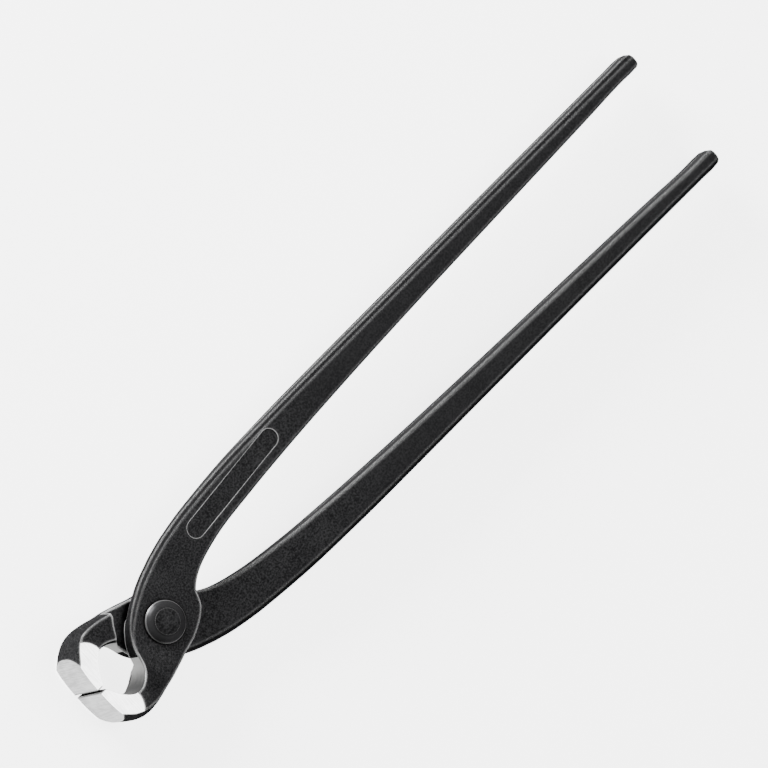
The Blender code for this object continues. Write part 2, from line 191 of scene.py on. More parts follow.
class Paint:
    def __init__(self, name):
        self.material = bpy.data.materials.new(name)
        self.material.use_nodes = True
        self.tree = self.material.node_tree
        self.place = self.node("TexCoord", {}, {}, "Object")

    def node(self, kind, settings, sockets, output=0):
        made = self.tree.nodes.new("ShaderNode" + kind)
        for key, value in settings.items():
            setattr(made, key, value)
        for key, value in sockets.items():
            self.fill(made.inputs[key], value)
        return Wire(self, made.outputs[output])

    def fill(self, socket, value):
        if isinstance(value, Wire):
            self.tree.links.new(value.socket, socket)
        elif socket.type == "RGBA":
            socket.default_value = (*value, 1.0)
        else:
            socket.default_value = value

    def noise(self, spread, detail, stretch=(1.0, 1.0, 1.0)):
        place = self.node("Mapping", {}, {"Vector": self.place, "Scale": stretch})
        sockets = {"Vector": place, "Scale": spread, "Detail": detail, "Roughness": 0.6}
        return self.node("TexNoise", {}, sockets)

    def mix(self, share, low, high):
        return self.node("Mix", {"data_type": "RGBA"}, {0: share, 6: low, 7: high}, 2)

    def bump(self, height, strength, depth):
        sockets = {"Strength": strength, "Distance": depth, "Height": height}
        return self.node("Bump", {}, sockets)

    def part(self, axis):
        return self.node("SeparateXYZ", {}, {0: self.place}, axis)

    def slope(self):  # 1 on a level face, 0 on an upright one
        facing = self.node("TexCoord", {}, {}, "Normal")
        return self.node("SeparateXYZ", {}, {0: facing}, 2).magnitude()

    def nearness(self, reach, inside):
        settings = {"inside": inside, "only_local": inside, "samples": 8}
        return 1.0 - self.node("AmbientOcclusion", settings, {"Distance": reach}, "AO")

    def finish(self, **sockets):
        shader = self.tree.nodes["Principled BSDF"]
        for key, value in sockets.items():
            self.fill(shader.inputs[key.replace("_", " ")], value)
        return self.material


# Black oxide over forged steel: a fine mottle and a shallow forged grain, with painted shade on
# the slanting faces, painted light on the handles' upright walls, wear and a painted highlight
# along the edges and the parting line, and painted shade in the corners. Each two-number pair
# of a mark is its least amount and what the cloud adds.
blackSizes = {
    "deep": (0.0055, 0.0055, 0.0058),
    "pale": (0.0270, 0.0270, 0.0278),
    # painted shade on the slanting faces: the chamfers made darker than the faces
    "slant": (0.0042, 0.0042, 0.00434),
    # painted light: the handles' upright walls made lighter
    "wall": (0.0260, 0.0260, 0.0265),
    # painted shade, dark in the corners and between parts
    "corner": (0.001, 0.001, 0.001),
    # bright along the edges and the parting line: wear and a painted highlight
    "rubbed": (0.40, 0.40, 0.40),
    "grain": (1700.0, 4.0),
    "cloud": (110.0, 3.0),
    "grainShare": 0.85,
    "mottleBand": (0.36, 0.66),
    "evenMottle": 0.28,
    "evenShare": 0.55,
    "evenStart": (60.0 * mm, 100.0 * mm),
    "slantBand": (0.30, 0.55),
    "levelBand": (0.82, 0.90),
    "slantWear": (0.55, 0.60),
    "wallBand": (0.10, 0.35),
    "wallStart": (18.0 * mm, 50.0 * mm),
    "wallWear": (0.45, 0.90),
    "edgeReach": 0.95 * mm,
    "edgeBand": (0.06, 0.28),
    "edgeWear": (0.62, 0.55),
    "crestX": (-14.0 * mm, -9.0 * mm),
    "crestY": (3.0 * mm, 6.0 * mm),
    "crestShade": 0.45,
    "cornerReach": 2.5 * mm,
    "cornerBand": (0.04, 0.45),
    "partingHeight": (0.15 * mm, 0.45 * mm),
    "partingBand": (0.10, 0.30),
    "partingStart": (46.0 * mm, 72.0 * mm),
    "partingWear": (0.06, 0.22),
    "wear": 1.0,
    "gloss": 0.46,
    "grainBump": 0.35,
    "grainDepth": 0.05 * mm,
}
rivetBlack = {
    **blackSizes,
    "deep": (0.0045, 0.0045, 0.0047),
    "pale": (0.0200, 0.0200, 0.0206),
    # the rivet's sloping ring made lighter: a painted highlight
    "slant": (0.0276, 0.0276, 0.02852),
    "levelBand": (0.93, 0.985),
    "wear": 0.25,
    "gloss": 0.30,
}


def blackOxide(name, sizes):
    paint = Paint(name)
    grain = paint.noise(*sizes["grain"])
    cloud = paint.noise(*sizes["cloud"])
    x, y, z = paint.part(0), paint.part(1), paint.part(2)
    slope = paint.slope()
    mottle = grain * sizes["grainShare"] + cloud * (1.0 - sizes["grainShare"])
    mottle = mottle.above(*sizes["mottleBand"])
    even = x.above(*sizes["evenStart"]) * sizes["evenShare"]
    mottle = mottle + (sizes["evenMottle"] - mottle) * even
    # painted shade on the slanting faces, a painted highlight on the rivet's ring
    slant = slope.above(*sizes["slantBand"]) * (1.0 - slope.above(*sizes["levelBand"]))
    slant = (slant * cloud.scaled(*sizes["slantWear"])).smaller(1.0)
    # painted light on the handles' upright walls
    wall = (1.0 - slope.above(*sizes["wallBand"])) * x.above(*sizes["wallStart"])
    wall = wall * cloud.scaled(*sizes["wallWear"])
    # painted shade in the corners, from the nearness of other surfaces
    corner = paint.nearness(sizes["cornerReach"], False).above(*sizes["cornerBand"])
    crest = (1.0 - x.above(*sizes["crestX"])) * y.above(*sizes["crestY"])  # the rear jaw
    # wear and a painted highlight along the convex edges
    edge = paint.nearness(sizes["edgeReach"], True).above(*sizes["edgeBand"])
    edge = edge * cloud.scaled(*sizes["edgeWear"]) * (1.0 - crest * sizes["crestShade"])
    # wear and a painted highlight along the parting line
    parting = 1.0 - (z - pivotHeight).magnitude().above(*sizes["partingHeight"])
    parting = parting * (1.0 - slope.above(*sizes["partingBand"]))
    parting = parting * x.above(*sizes["partingStart"]) * cloud.scaled(*sizes["partingWear"])
    colour = paint.mix(mottle, sizes["deep"], sizes["pale"])
    for share, tone in ((slant, "slant"), (wall, "wall"), (corner, "corner")):
        colour = paint.mix(share, colour, sizes[tone])
    # the edges and the parting line made bright: wear and a painted highlight
    rubbed = edge.larger(parting).smaller(1.0) * sizes["wear"]
    return paint.finish(
        Base_Color=paint.mix(rubbed, colour, sizes["rubbed"]),
        Roughness=sizes["gloss"] + grain * 0.12 + cloud * 0.06 - edge * 0.08,
        Metallic=0.5,
        Specular_IOR_Level=0.0,
        Specular_Tint=(0.0, 0.0, 0.0),
        Normal=paint.bump(grain, sizes["grainBump"], sizes["grainDepth"]),
    )


# Ground steel: fine scratches drawn out along one direction over a soft uneven sheen, with a
# painted highlight along the edges and painted shade along the slot
groundSizes = {
    "scratch": (2600.0, 2.0),
    "patch": (160.0, 3.0),
    "scratchShare": 0.6,
    "sheenBand": (0.36, 0.64),
    "scratchBump": 0.25,
    "scratchDepth": 0.012 * mm,
    "edgeReach": 0.5 * mm,
    "edgeBand": (0.10, 0.36),
    # painted highlight along the edges
    "bright": (0.95, 0.95, 0.95),
    # painted shade along the slot, widening the dark gap between the jaws
    "lipBand": (0.80 * mm, 0.95 * mm),
    "lip": (0.004, 0.004, 0.004),
}
flankSizes = {
    **groundSizes,
    "pale": (1.0, 1.0, 1.0),
    "dark": (0.66, 0.66, 0.66),
    "stretch": (1.0, 0.06, 1.0),
    "gloss": 0.24,
}
bevelSizes = {
    **groundSizes,
    "pale": (0.28, 0.28, 0.28),
    "dark": (0.14, 0.14, 0.14),
    "stretch": (1.0, 1.0, 0.05),
    "gloss": 0.34,
}


def groundSteel(name, sizes):
    paint = Paint(name)
    scratch = paint.noise(*sizes["scratch"], sizes["stretch"])
    patch = paint.noise(*sizes["patch"])
    sheen = scratch * sizes["scratchShare"] + patch * (1.0 - sizes["scratchShare"])
    colour = paint.mix(sheen.above(*sizes["sheenBand"]), sizes["dark"], sizes["pale"])
    # painted highlight along the edges
    edge = paint.nearness(sizes["edgeReach"], True).above(*sizes["edgeBand"])
    colour = paint.mix(edge, colour, sizes["bright"])
    # painted shade along the slot: the lips made dark
    inner = paint.part(1).magnitude().above(*sizes["lipBand"])
    return paint.finish(
        Base_Color=paint.mix(inner, sizes["lip"], colour),
        Roughness=sizes["gloss"] + scratch * 0.10 + patch * 0.05,
        Metallic=1.0,
        Normal=paint.bump(scratch, sizes["scratchBump"], sizes["scratchDepth"]),
    )


# The hollow: scaly steel, darker at the cutting edge, plain towards the joint, and with painted
# shade at the bottom
hollowSizes = {
    "patch": (420.0, 3.0),
    "wander": 1.2 * mm,
    "clean": (0.22, 0.22, 0.217),
    # painted shade at the bottom of the hollow
    "dull": (0.055, 0.055, 0.055),
    "dark": (0.012, 0.012, 0.012),
    "tint": (0.4, 0.4, 0.4),
    "edgeBand": (1.8 * mm, 3.0 * mm),
    "edgeEnd": (-27.0 * mm, -23.0 * mm),
    "bottomBand": (4.6 * mm, 9.0 * mm),
    "gloss": 0.34,
    "patchBump": 0.2,
    "patchDepth": 0.03 * mm,
}


def hollowSteel(name, sizes):
    paint = Paint(name)
    patch = paint.noise(*sizes["patch"])
    depth = paint.part(1).magnitude()  # how far from the tool's middle line
    wander = depth + (patch - 0.5) * sizes["wander"]
    # painted shade deepening towards the bottom of the hollow
    colour = paint.mix(wander.above(*sizes["bottomBand"]), sizes["clean"], sizes["dull"])
    # darker towards the cutting edge
    lip = 1.0 - wander.above(*sizes["edgeBand"])
    lip = lip * (1.0 - paint.part(0).above(*sizes["edgeEnd"]))
    return paint.finish(
        Base_Color=paint.mix(lip, colour, sizes["dark"]),
        Roughness=sizes["gloss"] + patch * 0.14,
        Metallic=1.0,
        Specular_Tint=sizes["tint"],
        Normal=paint.bump(patch, sizes["patchBump"], sizes["patchDepth"]),
    )


# The floor: pale, faintly clouded and lit from within, so that it stays near white
floorSizes = {
    "half": 4.0,
    "gap": 0.05 * mm,
    "cloud": (2.0, 2.0),
    "low": (0.86, 0.86, 0.86),
    "high": (0.90, 0.90, 0.90),
    "glow": 4.0,
}


def paleFloor(name, sizes):
    paint = Paint(name)
    return paint.finish(
        Base_Color=paint.mix(paint.noise(*sizes["cloud"]), sizes["low"], sizes["high"]),
        Roughness=0.9,
        Specular_IOR_Level=0.1,
        Emission_Color=(1.0, 1.0, 1.0),
        Emission_Strength=sizes["glow"],
    )


finishes = {
    "forged": blackOxide("forged_black", blackSizes),
    "rivet": blackOxide("rivet_black", rivetBlack),
    "flank": groundSteel("polished_side", flankSizes),
    "bevel": groundSteel("ground_end", bevelSizes),
    "hollow": hollowSteel("hollow_steel", hollowSizes),
    "floor": paleFloor("pale_floor", floorSizes),
}
print("materials made")

# The levers: the same forging twice, one turned over, with the differences given below
leverSizes = {
    "pivotToEdge": 33.3 * mm,
    "pivotToEnd": 247.0 * mm,
    "rootLength": 40.0 * mm,
    "halfSpread": 22.8 * mm,
    "jointRadius": 15.1 * mm,
    "jawStart": 15.7 * mm,
    "jawHalf": 10.5 * mm,
    "flankStep": 0.2 * mm,
    "jointHalf": 6.0 * mm,
    "gripHalf": 5.0 * mm,
    "lapHalf": 0.15 * mm,
    "gripDepth": 13.2 * mm,
    "hollowDepth": 8.8 * mm,
    "backDepth": 17.5 * mm,
    "edgeSlot": 1.1 * mm,
    "wideChamfer": 1.6 * mm,
    "thinChamfer": 0.35 * mm,
    "gripChamfer": 0.7 * mm,
    "jawCrown": 2.0 * mm,
    "gripCrown": 0.15 * mm,
    "lapBulge": 1.2 * mm,
    "jawBulge": 0.6 * mm,
    "rootLean": 0.3 * mm,
    "bulgeLimit": 0.5,
    # where the bulges, the lean and the thin chamfer come in, in joint radii or jaw lengths
    "lapBulgeEnd": (0.80, 1.05),
    "lapBulgeStart": (-1.3, -0.6),
    "leanStart": (-0.2, 0.4),
    "jawBulgeEnd": (-0.2, 0.35),
    "thinEnd": (1.0, 2.0),
    "hollowStart": -0.97,
    "chamferDrop": 0.85,
    "hollowDrop": 3.0,
    "crownPower": 2.6,
    "softEdge": 0.22 * mm,
    "softShare": 0.42,
    "softSteps": (0.0, 0.33, 0.67, 1.0),
    "parting": 0.12 * mm,
    "partingStart": (45.0 * mm, 70.0 * mm),
    "boreRadius": 5.3 * mm,
    "stationSteps": 7,
    "shoulderSteps": 5,
    # how far along the grip, outer wall, depth and thickness
    "grip": (
        (1.0000, 0.938, 0.150, 0.72),
        (0.9984, 0.966, 0.262, 0.86),
        (0.9945, 0.988, 0.334, 0.95),
        (0.9860, 0.999, 0.364, 1.00),
        (0.9565, 1.000, 0.364, 1.00),
        (0.880, 1.000, 0.410, 1.00),
        (0.680, 1.000, 0.513, 1.00),
        (0.480, 1.000, 0.614, 1.00),
        (0.290, 1.000, 0.742, 1.00),
        (0.145, 0.995, 0.870, 1.00),
        (0.050, 0.982, 0.970, 1.00),
    ),
    # outer wall, inner wall and the share of the wide chamfer, round the joint
    "joint": (
        (2.250, 1.414, 2.250, 0.497, 1.00),
        (1.855, 1.377, 1.888, 0.417, 1.00),
        (1.523, 1.328, 1.623, 0.344, 1.00),
        (1.192, 1.268, 1.391, 0.258, 1.00),
        (0.927, 1.202, 1.205, 0.159, 1.00),
        (0.728, 1.146, 1.086, 0.070, 1.00),
        (0.563, 1.089, 1.003, -0.004, 1.00),
        (0.397, 1.033, 0.944, -0.113, 1.00),
        (0.232, 0.970, 0.854, -0.232, 0.95),
        (0.066, 0.901, 0.728, -0.351, 0.90),
        (-0.106, 0.815, 0.570, -0.460, 0.85),
        (-0.291, 0.710, 0.397, -0.556, 0.80),
        (-0.464, 0.590, 0.212, -0.636, 0.75),
        (-0.623, 0.460, 0.033, -0.685, 0.65),
        (-0.768, 0.301, -0.132, -0.728, 0.55),
        (-0.887, 0.136, -0.331, -0.795, 0.45),
        (-0.960, -0.017, -0.530, -0.854, 0.40),
        (-0.997, -0.166, -0.728, -0.917, 0.35),
    ),
    # hollow wall, back wall, crown and the share of the hollow's chamfer
    "jaw": (
        (0.000, 0.516, -0.097, 0.870, 0.30, 0.20, 0.60),
        (0.057, 0.692, 0.085, 0.935, 0.60, 0.25, 1.00),
        (0.148, 0.835, 0.256, 0.980, 0.85, 0.25, 1.00),
        (0.261, 0.945, 0.415, 0.997, 1.05, 0.25, 1.00),
        (0.386, 1.000, 0.557, 0.985, 1.10, 0.25, 1.00),
        (0.500, 0.978, 0.670, 0.943, 1.05, 0.40, 0.80),
        (0.602, 0.846, 0.767, 0.880, 0.90, 0.55, 0.50),
        (0.693, 0.659, 0.850, 0.812, 0.85, 0.75, 0.30),
        (0.761, 0.462, 0.955, 0.735, 0.95, 1.05, 0.20),
        (0.824, 0.240, 1.085, 0.640, 1.15, 1.25, 0.20),
        (0.892, 0.040, 1.200, 0.487, 1.40, 1.40, 0.20),
        (0.983, -0.022, 1.267, 0.270, 1.50, 1.50, 0.20),
        (1.125, -0.110, 1.295, -0.029, 0.80, 0.80, 0.20),
    ),
    # the shoulder beside the lap
    "shoulder": (
        (-1.390, -0.300, -1.150, -0.020),
        (-1.210, -0.450, -1.030, -0.220),
        (-1.115, -0.535, -0.960, -0.360),
        (-1.025, -0.680, -0.920, -0.560),
        (-0.930, -0.825, -0.870, -0.760),
        (-0.860, -0.920, -0.820, -0.880),
        (-0.860, -1.100, -0.820, -1.100),
        (-0.820, -1.500, -0.780, -1.500),
    ),
    "frontFlare": (0.60, 1.50),
    "backStep": (0.45, 0.70),
    "backFlare": (0.97, 1.55),
    "shoulderHeight": 0.87,
    "lapFlare": (0.33, 2.20),
    # across one wall, from front to back, with the parting line in the middle
    "wall": (
        *(-1.0, -0.9, -0.75, -0.55, -0.35, -0.18, -0.06, 0.0),
        *(0.06, 0.18, 0.35, 0.55, 0.75, 0.9, 1.0),
    ),
}
overrun = 8.0 * mm


def blendOf(low, high, share):
    return low + (high - low) * share


def easeOf(value, start, end):
    share = min(max((value - start) / (end - start), 0.0), 1.0)
    return share * share * (3 - 2 * share)


def smoothRows(rows, steps):
    rows = np.array(rows, dtype=float)
    gaps = np.linalg.norm(np.diff(rows[:, :2], axis=0), axis=1)
    slopes = np.diff(rows, axis=0) / gaps[:, None]
    lean = [slopes[0]]
    for i in range(1, len(rows) - 1):
        lean.append(blendOf(slopes[i - 1], slopes[i], gaps[i - 1] / (gaps[i - 1] + gaps[i])))
    lean.append(slopes[-1])
    made = []
    for i in range(len(rows) - 1):
        for t in np.arange(steps) / steps:
            first = (1 + 2 * t) * (1 - t) ** 2 * rows[i] + t * (1 - t) ** 2 * gaps[i] * lean[i]
            last = t * t * (3 - 2 * t) * rows[i + 1] + t * t * (t - 1) * gaps[i] * lean[i + 1]
            made.append(first + last)
    made.append(rows[-1])
    return made


def frontHeight(sizes, x, gripHalf):
    start, end = sizes["frontFlare"]
    root = easeOf(x, sizes["jointRadius"], 2 * sizes["rootLength"])
    swell = easeOf(-x, start * sizes["jawStart"], end * sizes["jawStart"])
    full = sizes["jawHalf"] + sizes["flankStep"]
    return blendOf(blendOf(sizes["jointHalf"], gripHalf, root), full, swell)


def backHeight(sizes, x, gripHalf):
    low, high = sizes["lapFlare"]
    root = easeOf(x, low * sizes["rootLength"], high * sizes["rootLength"])
    step = easeOf(-x, *(share * sizes["jawStart"] for share in sizes["backStep"]))
    swell = easeOf(-x, *(share * sizes["jawStart"] for share in sizes["backFlare"]))
    full = sizes["jawHalf"] + sizes["flankStep"]
    shoulder = blendOf(sizes["lapHalf"], -sizes["shoulderHeight"] * full, step)
    return blendOf(blendOf(shoulder, -gripHalf, root), -full, swell)


def leverRows(sizes, own):
    rows = []
    radius = sizes["jointRadius"]
    grip = sizes["gripHalf"]
    drop = sizes["chamferDrop"]
    for along, outer, depth, thickness in sizes["grip"]:
        x = blendOf(sizes["rootLength"], sizes["pivotToEnd"] - own["endTrim"], along)
        lean = blendOf(sizes["rootLean"], own["endLean"], along**3)
        top = outer * sizes["halfSpread"] + lean
        deep = depth * sizes["gripDepth"]
        wide = min(sizes["wideChamfer"], deep / 3)
        thin = min(sizes["gripChamfer"], deep / 4)
        half = thickness * grip
        bulge = blendOf(own["gripBulge"], own["endBulge"], along)
        deep += min(bulge, sizes["bulgeLimit"] * deep)
        low = top - deep
        crown = sizes["gripCrown"]
        rows.append((x, top, x, low, wide, wide, wide * drop, thin, crown, crown, half, 0.0))
    for outerX, outerY, innerX, innerY, chamfer in sizes["joint"]:
        walls = (outerX * radius, outerY * radius, innerX * radius, innerY * radius)
        wide = chamfer * sizes["wideChamfer"]
        share = easeOf(innerX, *sizes["thinEnd"])
        thin = blendOf(sizes["thinChamfer"], sizes["gripChamfer"], share)
        crown = sizes["gripCrown"]
        share = easeOf(innerX, *sizes["lapBulgeEnd"])
        bulge = blendOf(sizes["lapBulge"], own["rootBulge"], share)
        bulge *= easeOf(innerX, *sizes["lapBulgeStart"])
        outer, inner = Vector(walls[:2]), Vector(walls[2:])
        across = (outer - inner).normalized()
        inner -= across * bulge
        outer += across * sizes["rootLean"] * easeOf(outerX, *sizes["leanStart"])
        bare = float(outerX < sizes["hollowStart"])
        rows.append((*outer, *inner, wide, wide, wide * drop, thin, crown, crown, grip, bare))
    length = sizes["pivotToEdge"] - sizes["jawStart"]
    for hollowX, hollowY, backX, backY, frontCrown, backCrown, dressed in sizes["jaw"]:
        hollow = (-sizes["jawStart"] - hollowX * length, -hollowY * sizes["hollowDepth"])
        rise = sizes["jawBulge"] * (1.0 - easeOf(backX, *sizes["jawBulgeEnd"]))
        back = (-sizes["jawStart"] - backX * length, -backY * sizes["backDepth"] - rise)
        thin = sizes["thinChamfer"]
        wide = dressed * own["hollowChamfer"]
        fall = wide * sizes["hollowDrop"]
        bows = (frontCrown * sizes["jawCrown"], backCrown * sizes["jawCrown"])
        rows.append((*hollow, *back, thin, wide, fall, thin, *bows, grip, 1.0))
    return smoothRows(rows, sizes["stationSteps"])


def wallPoints(sizes, foot, inward, top, bottom, crowns, ridge):
    points = []
    for place in sizes["wall"]:
        crown = crowns[0] if place < 0 else crowns[1]
        bow = crown * abs(place) ** sizes["crownPower"] - ridge * (place == 0.0)
        points.append((*(foot + inward * bow), blendOf(top, bottom, (place + 1) / 2)))
    return points


def sectionRing(sizes, row):
    outer, inner = row[0:2], row[2:4]
    wide, backWide, backDrop, thin, frontCrown, backCrown, half = row[4:11]
    across = (inner - outer) / np.linalg.norm(inner - outer)
    drop = sizes["chamferDrop"]
    small = sizes["gripCrown"]
    frontOuter = outer + across * (wide + small)
    backOuter = outer + across * (backWide + small)
    frontInner = inner - across * (thin + frontCrown)
    backInner = inner - across * (thin + backCrown)
    ridge = sizes["parting"] * easeOf(outer[0], *sizes["partingStart"])
    ridge *= min(half / sizes["gripHalf"], 1)
    innerTop = frontHeight(sizes, inner[0], half) - thin * drop
    innerBottom = backHeight(sizes, inner[0], half) + thin * drop
    outerTop = frontHeight(sizes, outer[0], half) - wide * drop
    outerBottom = backHeight(sizes, outer[0], half) + backDrop
    bows = (frontCrown, backCrown)
    innerWall = wallPoints(sizes, inner, -across, innerTop, innerBottom, bows, ridge)
    outerWall = wallPoints(sizes, outer, across, outerTop, outerBottom, (small, small), ridge)
    return [
        (*frontOuter, frontHeight(sizes, frontOuter[0], half)),
        (*frontInner, frontHeight(sizes, frontInner[0], half)),
        *innerWall,
        (*backInner, backHeight(sizes, backInner[0], half)),
        (*backOuter, backHeight(sizes, backOuter[0], half)),
        *reversed(outerWall),
    ]


def softenRing(sizes, ring, corners):
    points = [np.array(point) for point in ring]
    made = []
    for i, point in enumerate(points):
        if i not in corners:
            made.append(point)
            continue
        back, ahead = points[i - 1] - point, points[(i + 1) % len(points)] - point
        most, reach = sizes["softShare"], sizes["softEdge"]
        fromBack = point + back * min(most, reach / np.linalg.norm(back))
        toAhead = point + ahead * min(most, reach / np.linalg.norm(ahead))
        for t in sizes["softSteps"]:
            made.append((1 - t) ** 2 * fromBack + 2 * t * (1 - t) * point + t * t * toAhead)
    return made


def forgeLever(name, sizes, own):
    rows = leverRows(sizes, own)
    rings = [sectionRing(sizes, row) for row in rows]
    wall = len(sizes["wall"])
    corners = {0, 1, 2, 1 + wall, 2 + wall, 3 + wall, 4 + wall, 3 + 2 * wall}
    soft = [softenRing(sizes, ring, corners) for ring in rings]
    count = len(soft[0])
    hollowFrom = count - (wall - 2) - 2 * len(sizes["softSteps"])
    mesh = bpy.data.meshes.new(name)
    points = [tuple(point) for ring in soft for point in ring]
    faces = [list(range(count)), [len(points) - 1 - i for i in range(count)]]
    steel = [0, 0]
    for i in range(len(soft) - 1):
        for j in range(count):
            k = (j + 1) % count
            faces.append([i * count + k, i * count + j, (i + 1) * count + j, (i + 1) * count + k])
            steel.append(1 if rows[i][11] > 0.5 and j >= hollowFrom else 0)
    mesh.from_pydata(points, [], faces)
    mesh.materials.append(finishes["forged"])
    mesh.materials.append(finishes["hollow"])
    mesh.polygons.foreach_set("material_index", steel)
    return mesh


def uprightCutter(name, outline, bottom, top, finish):
    edit = bmesh.new()
    low = [edit.verts.new((x, y, bottom)) for x, y in outline]
    high = [edit.verts.new((x, y, top)) for x, y in outline]
    edit.faces.new(low)
    edit.faces.new(high)
    for i in range(len(outline)):
        k = (i + 1) % len(outline)
        edit.faces.new((low[i], low[k], high[k], high[i]))
    bmesh.ops.recalc_face_normals(edit, faces=edit.faces)
    mesh = bpy.data.meshes.new(name)
    edit.to_mesh(mesh)
    edit.free()
    mesh.materials.append(finish)
    return mesh


def arcPoints(centre, radius, first, last, steps):
    turns = [blendOf(first, last, i / steps) for i in range(steps + 1)]
    return [(centre[0] + radius * cos(a), centre[1] + radius * sin(a)) for a in turns]


cutSizes = {
    "bevelRadius": 45.0 * mm,
    "bevelCentre": -0.06,
    "landDepth": 3.0 * mm,
    "flankRadius": 7.0 * mm,
    "flankCentre": (-0.93, -0.54),
    "flankArc": radians(60.0),
    "lapRelief": 0.02 * mm,
    "panelStart": 28.7 * mm,
    "panelLength": 39.0 * mm,
    "panelRadius": 3.1 * mm,
    "panelDepth": 0.09 * mm,
    "panelOffset": 0.62,
    "panelRise": 0.093,
    "arcSteps": 40,
}


def leverCutters(sizes, cuts):
    full = sizes["jawHalf"] + sizes["flankStep"]
    reach = sizes["pivotToEdge"]
    spread = sizes["halfSpread"]
    steps = cuts["arcSteps"]
    black, flank, bevel = finishes["forged"], finishes["flank"], finishes["bevel"]
    radius = sizes["jointRadius"]
    shoulder = smoothRows(sizes["shoulder"], sizes["shoulderSteps"])
    brim = [(x * radius, y * radius) for x, y, footX, footY in shoulder]
    foot = [(footX * radius, footY * radius) for x, y, footX, footY in shoulder]
    far = [(radius, brim[-1][1]), (radius, spread), (brim[0][0], spread)]
    bore = arcPoints((0.0, 0.0), sizes["boreRadius"], 0.0, 2 * pi, 2 * steps)[:-1]
    slot = sizes["edgeSlot"] / 2
    left, right = -reach - overrun, -reach + cuts["landDepth"]
    land = [(left, -slot), (right, -slot), (right, overrun), (left, overrun)]
    centre = (cuts["bevelRadius"] - reach, cuts["bevelCentre"] * reach)
    above = asin(overrun / cuts["bevelRadius"])
    below = asin((spread + overrun / 2) / cuts["bevelRadius"])
    end = arcPoints(centre, cuts["bevelRadius"], pi - above, pi + below, steps)
    outside = -reach - 2 * overrun
    end += [(outside, end[-1][1]), (outside, end[0][1])]
    centre = (cuts["flankCentre"][0] * reach, cuts["flankCentre"][1] * sizes["backDepth"])
    side = arcPoints(centre, cuts["flankRadius"], -cuts["flankArc"], cuts["flankArc"], steps)
    side += [(side[-1][0], overrun), (left, overrun), (left, -spread), (side[0][0], -spread)]
    half = sizes["jawHalf"]
    return [
        lapCutter(sizes, cuts, brim + far, foot + far, black),
        uprightCutter("bore", bore, -full, full, black),
        uprightCutter("land", land, -full - overrun, full + overrun, black),
        uprightCutter("end", end, -full - overrun, full + overrun, bevel),
        uprightCutter("frontFlank", side, half, half + overrun, flank),
        uprightCutter("backFlank", side, -half - overrun, -half, flank),
        panelCutter(sizes, cuts),
    ]


def lapCutter(sizes, cuts, brim, foot, finish):
    low = -sizes["shoulderHeight"] * (sizes["jawHalf"] + sizes["flankStep"])
    high = sizes["lapHalf"] - cuts["lapRelief"]
    slant = overrun / (high - low)  # the walls keep their slope below the brim
    deep = [tuple(b + (b - f) * slant for b, f in zip(*pair)) for pair in zip(brim, foot)]
    mesh = uprightCutter("lap", deep, low - overrun, high, finish)
    count = len(foot)
    for vertex, spot in zip(mesh.vertices[count:2 * count], foot):
        vertex.co.x, vertex.co.y = spot
    return mesh


def panelCutter(sizes, cuts):
    turn = atan2(cuts["panelRise"], 1)
    half = cuts["panelLength"] / 2
    radius = cuts["panelRadius"]
    outline = arcPoints((half, 0.0), radius, -pi / 2, pi / 2, cuts["arcSteps"])
    outline += arcPoints((-half, 0.0), radius, pi / 2, 3 * pi / 2, cuts["arcSteps"])
    mesh = uprightCutter("panel", outline, -cuts["panelDepth"], overrun, finishes["forged"])
    start = frontHeight(sizes, cuts["panelStart"], sizes["gripHalf"])
    end = frontHeight(sizes, cuts["panelStart"] + cuts["panelLength"], sizes["gripHalf"])
    fall = atan2(start - end, cuts["panelLength"])
    x = cuts["panelStart"] + half * cos(turn)
    y = cuts["panelOffset"] * sizes["halfSpread"] + half * sin(turn)
    place = Matrix.Translation((x, y, (start + end) / 2))
    mesh.transform(place @ Matrix.Rotation(fall, 4, "Y") @ Matrix.Rotation(turn, 4, "Z"))
    return mesh


def makeLever(name, sizes, cuts, own):
    lever = placeObject(name, forgeLever(name, sizes, own))
    cutters = []
    for mesh in leverCutters(sizes, cuts):
        cutter = placeObject(name + mesh.name, mesh)
        cut = lever.modifiers.new(mesh.name, "BOOLEAN")
        cut.operation = "DIFFERENCE"
        cut.solver = "EXACT"
        cut.material_mode = "TRANSFER"
        cut.object = cutter
        cutters.append(cutter)
    mesh = plainMesh(lever)
    for cutter in cutters:
        bpy.data.objects.remove(cutter)
    place = Matrix.Translation((0.0, 0.0, pivotHeight)) @ Matrix.Rotation(own["turn"], 4, "X")
    mesh.transform(place)
    smoothMesh(mesh)
    lever.data = mesh
    print(name, "made,", len(mesh.polygons), "faces")
    return lever


# Where the two forgings differ in the photo: the hollow's edge, the handle's width, lean and end
frontSizes = {
    "turn": 0.0,
    "hollowChamfer": 1.9 * mm,
    "rootBulge": 0.0,
    "gripBulge": 0.5 * mm,
    "endBulge": 0.6 * mm,
    "endLean": 0.0,
    "endTrim": 0.7 * mm,
}
rearSizes = {
    "turn": pi,
    "hollowChamfer": 1.0 * mm,
    "rootBulge": 0.45 * mm,
    "gripBulge": 0.55 * mm,
    "endBulge": 0.8 * mm,
    "endLean": 1.0 * mm,
    "endTrim": 1.3 * mm,
}
frontLever = makeLever("frontForging", leverSizes, cutSizes, frontSizes)
rearLever = makeLever("rearForging", leverSizes, cutSizes, rearSizes)
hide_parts("front_lever")
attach(frontLever, "front_lever")
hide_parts("rear_lever")
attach(rearLever, "rear_lever")

# The rivet: one turned profile with a flat standing proud on a domed ring, the same at both ends
rivetSizes = {
    "shankRadius": 5.0 * mm,
    "headRadius": 7.0 * mm,
    "flatRadius": 4.35 * mm,
    "flatSoft": 0.12 * mm,
    "flatEase": 0.3,
    "flatRise": 0.16 * mm,
    "headHeight": 2.4 * mm,
    "rim": 0.5 * mm,
    "rimSoft": 0.15 * mm,
    "bulge": 0.3 * mm,
    "seat": 6.3 * mm,
    "ringSteps": 16,
    "sides": 160,
    "weld": 0.001 * mm,
}


